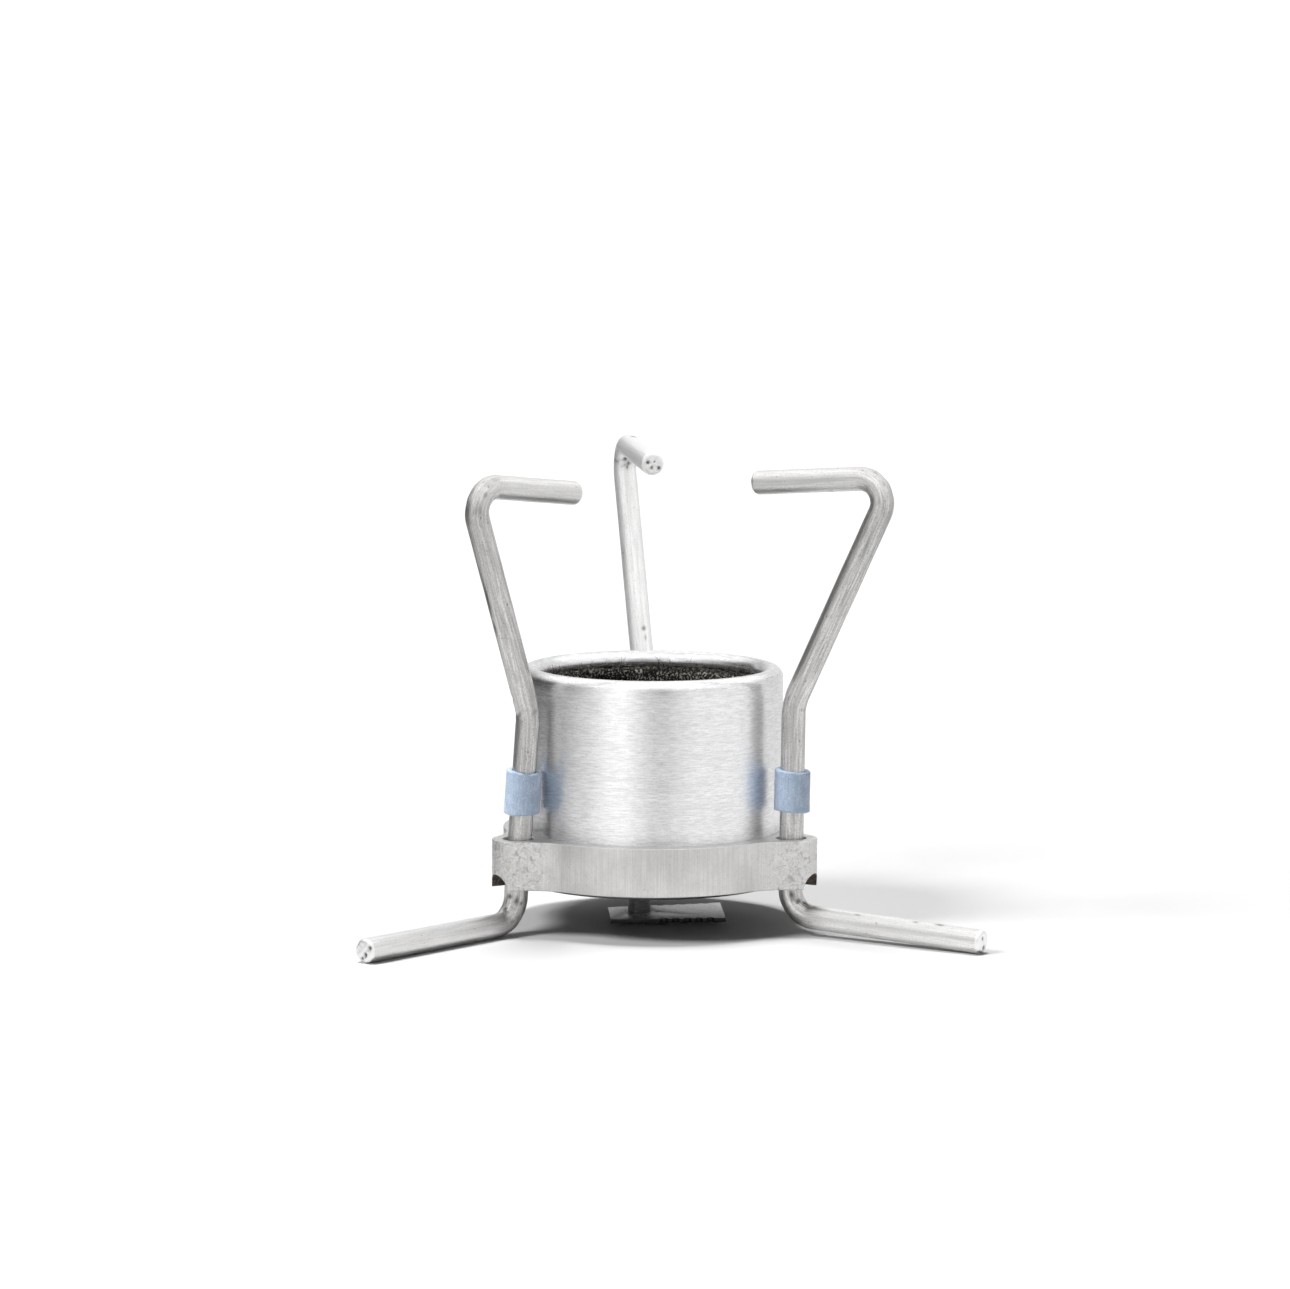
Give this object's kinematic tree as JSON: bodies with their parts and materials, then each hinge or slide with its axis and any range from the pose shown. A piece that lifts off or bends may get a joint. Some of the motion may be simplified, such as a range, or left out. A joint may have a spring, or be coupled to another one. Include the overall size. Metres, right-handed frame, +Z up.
{
  "type": "camping stove",
  "caption": "Pocket spirit burner: a round felt-lined cup in a lobed plate, on bent-rod legs that swivel to fold and carry the pot, with a flame lever underneath.",
  "frame": {"origin": "centre of the footprint, on the ground that the feet stand on", "axes": "+Z up along the cup's axis; +X to the right and +Y to the back, through the back leg's bore"},
  "size_m": [0.0806, 0.0802, 0.0617],
  "materials": {
    "plate_aluminium": "milled edge with fine vertical marks, scratched",
    "cup_aluminium": "fine circumferential brushing with a polished lip",
    "rod_aluminium": "satin mill finish with lengthways lines and small pits",
    "carbon_felt": "matt black felt",
    "silicone": "translucent pale blue, satin",
    "inner_steel": "heat-stained sheet",
    "spindle_steel": "turned, satin",
    "lever_steel": "bright sheet",
    "seal_rubber": "matt black"
  },
  "bodies": {
    "burner": {"base_plate": "plate_aluminium", "burner_cup": "cup_aluminium", "wick_felt": "carbon_felt", "port_cap": "inner_steel", "spindle_washer": "spindle_steel", "spindle_seal": "seal_rubber"},
    "flame_control": {"control_lever": "lever_steel", "control_spindle": "spindle_steel", "spindle_clip": "spindle_steel", "shutter_disc": "inner_steel", "spindle_nut": "spindle_steel"},
    "left_leg": {"leg_left": "rod_aluminium", "sleeve_left": "silicone"},
    "right_leg": {"leg_right": "rod_aluminium", "sleeve_right": "silicone"},
    "back_leg": {"leg_back": "rod_aluminium", "sleeve_back": "silicone"}
  },
  "joints": [
    {"name": "left_leg_swivel", "type": "hinge", "parent": "burner", "child": "left_leg", "pos_m": [-0.01933, -0.01871, 0.00946], "axis": [0, 0, 1], "range_deg": [-140, 10]},
    {"name": "right_leg_swivel", "type": "hinge", "parent": "burner", "child": "right_leg", "pos_m": [0.01612, -0.01871, 0.00946], "axis": [0, 0, 1], "range_deg": [-120, 30]},
    {"name": "back_leg_swivel", "type": "hinge", "parent": "burner", "child": "back_leg", "pos_m": [-0.0016, 0.012, 0.00946], "axis": [0, 0, 1], "range_deg": [-135, 15]},
    {"name": "flame_lever_turn", "type": "hinge", "parent": "burner", "child": "flame_control", "pos_m": [-0.0031, -0.00847, 0.0061], "axis": [0, 0, 1], "continuous": true}
  ]
}
